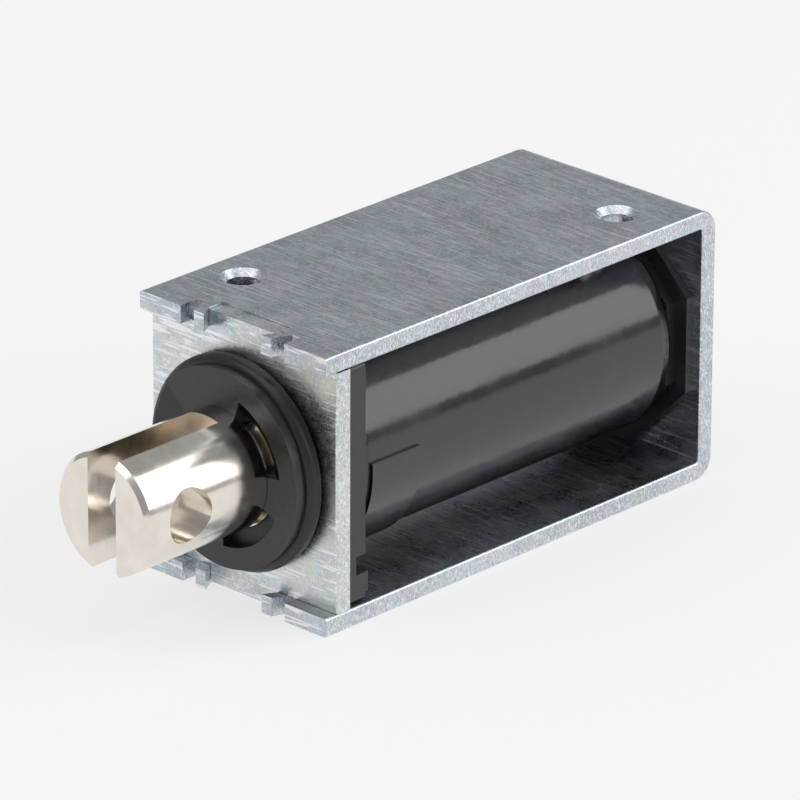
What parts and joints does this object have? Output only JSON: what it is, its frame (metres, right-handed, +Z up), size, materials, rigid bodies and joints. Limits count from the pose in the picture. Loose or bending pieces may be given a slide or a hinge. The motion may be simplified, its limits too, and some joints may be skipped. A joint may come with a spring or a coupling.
{
  "type": "push pull solenoid",
  "caption": "Open-frame push-pull solenoid: bent steel frame, taped coil, clevis plunger with retaining clip and bumper, and a push pin at the back.",
  "frame": {"origin": "centre of the frame's bottom face, which the part stands on", "axes": "+Z up from the bottom face, +Y along the plunger axis from the clevis to the push pin, +X to the side"},
  "size_m": [0.026, 0.0867, 0.03],
  "materials": {
    "zinc_steel": "bright zinc plate, scuffed",
    "nickel_steel": "polished nickel plate",
    "black_oxide": "black oxide, satin",
    "black_plastic": "moulded nylon, semi-gloss",
    "black_tape": "wound polyester tape, glossy",
    "clear_tape": "thin amber film",
    "copper_wire": "enamelled copper winding",
    "brass_tube": "drawn brass",
    "pole_steel": "turned soft iron, zinc plated",
    "pin_steel": "ground stainless steel",
    "black_rubber": "moulded rubber"
  },
  "bodies": {
    "housing": {"c_frame": "zinc_steel", "front_plate": "zinc_steel", "bobbin": "black_plastic", "guide_tube": "brass_tube", "base_tape": "clear_tape", "winding": "copper_wire", "outer_tape": "black_tape", "joint_patch": "black_tape", "pole_piece": "pole_steel", "pole_shim": "brass_tube"},
    "clip_stack": {"retaining_clip": "black_oxide", "rubber_bumper": "black_rubber"},
    "armature": {"plunger": "nickel_steel", "push_pin": "pin_steel"}
  },
  "joints": [
    {"name": "plunger_slide", "type": "slide", "parent": "housing", "child": "clip_stack", "axis": [0, -1, 0], "range_m": [0, 0.01]},
    {"name": "plunger_spin", "type": "hinge", "parent": "clip_stack", "child": "armature", "pos_m": [0, 0, 0.015], "axis": [0, -1, 0], "continuous": true}
  ]
}
